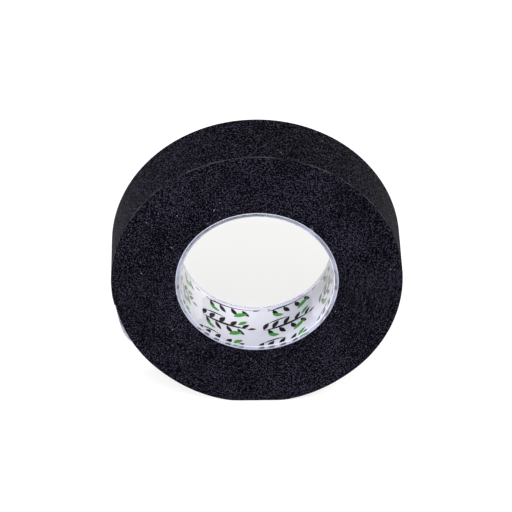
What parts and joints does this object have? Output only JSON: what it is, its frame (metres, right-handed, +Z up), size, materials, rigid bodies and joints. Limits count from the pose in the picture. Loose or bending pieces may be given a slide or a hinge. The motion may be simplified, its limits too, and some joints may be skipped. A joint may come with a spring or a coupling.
{
  "type": "grip tape roll",
  "caption": "Roll of black foam grip tape on a clear plastic core, with a printed release liner and a free end that peels off the rim.",
  "frame": {"origin": "middle of the small flat that the roll's rim stands on", "axes": "+Y along the roll's axis from the front side to the back side, +Z up, +X to the right seen from the front"},
  "size_m": [0.0963, 0.024, 0.0958],
  "materials": {
    "foam": "matte",
    "printed_liner": "satin",
    "clear_plastic": "gloss",
    "clear_tape": "gloss"
  },
  "bodies": {
    "roll": {"core_tube": "clear_plastic", "core_start_tab": "clear_tape", "wound_foam_strip": "foam", "wound_release_liner": "printed_liner"},
    "tail_1": {"tail_foam_1": "foam", "tail_liner_1": "printed_liner"},
    "tail_2": {"tail_foam_2": "foam", "tail_liner_2": "printed_liner"},
    "tail_3": {"tail_foam_3": "foam", "tail_liner_3": "printed_liner"},
    "tail_4": {"tail_foam_4": "foam", "tail_liner_4": "printed_liner"},
    "tail_5": {"tail_foam_5": "foam", "tail_liner_5": "printed_liner"},
    "tail_6": {"tail_foam_6": "foam", "tail_liner_6": "printed_liner"},
    "pull_tab": {"liner_pull_tab": "printed_liner"}
  },
  "joints": [
    {"name": "tail_peel_1", "type": "hinge", "parent": "roll", "child": "tail_1", "pos_m": [0.01654, 0, 0.09294], "axis": [0, 1, 0], "range_deg": [0, 20], "stiffness_Nm_per_rad": 0.0001},
    {"name": "tail_peel_2", "type": "hinge", "parent": "tail_1", "child": "tail_2", "pos_m": [0, 0, 0.09581], "axis": [0, 1, 0], "range_deg": [0, 20], "stiffness_Nm_per_rad": 0.0001},
    {"name": "tail_peel_3", "type": "hinge", "parent": "tail_2", "child": "tail_3", "pos_m": [-0.01651, 0, 0.09286], "axis": [0, 1, 0], "range_deg": [0, 20], "stiffness_Nm_per_rad": 0.0001},
    {"name": "tail_peel_4", "type": "hinge", "parent": "tail_3", "child": "tail_4", "pos_m": [-0.031, 0, 0.08444], "axis": [0, 1, 0], "range_deg": [0, 20], "stiffness_Nm_per_rad": 0.0001},
    {"name": "tail_peel_5", "type": "hinge", "parent": "tail_4", "child": "tail_5", "pos_m": [-0.04172, 0, 0.07159], "axis": [0, 1, 0], "range_deg": [0, 20], "stiffness_Nm_per_rad": 0.0001},
    {"name": "tail_peel_6", "type": "hinge", "parent": "tail_5", "child": "tail_6", "pos_m": [-0.0474, 0, 0.05586], "axis": [0, 1, 0], "range_deg": [0, 20], "stiffness_Nm_per_rad": 0.0001},
    {"name": "liner_tab_fold", "type": "hinge", "parent": "tail_6", "child": "pull_tab", "pos_m": [-0.04711, 0, 0.03919], "axis": [0, 1, 0], "range_deg": [0, 75], "stiffness_Nm_per_rad": 0.00006}
  ],
  "couplings": [
    {"joint": "tail_peel_2", "follows": "tail_peel_1", "ratio": 1},
    {"joint": "tail_peel_3", "follows": "tail_peel_1", "ratio": 1},
    {"joint": "tail_peel_4", "follows": "tail_peel_1", "ratio": 1},
    {"joint": "tail_peel_5", "follows": "tail_peel_1", "ratio": 1},
    {"joint": "tail_peel_6", "follows": "tail_peel_1", "ratio": 1}
  ]
}
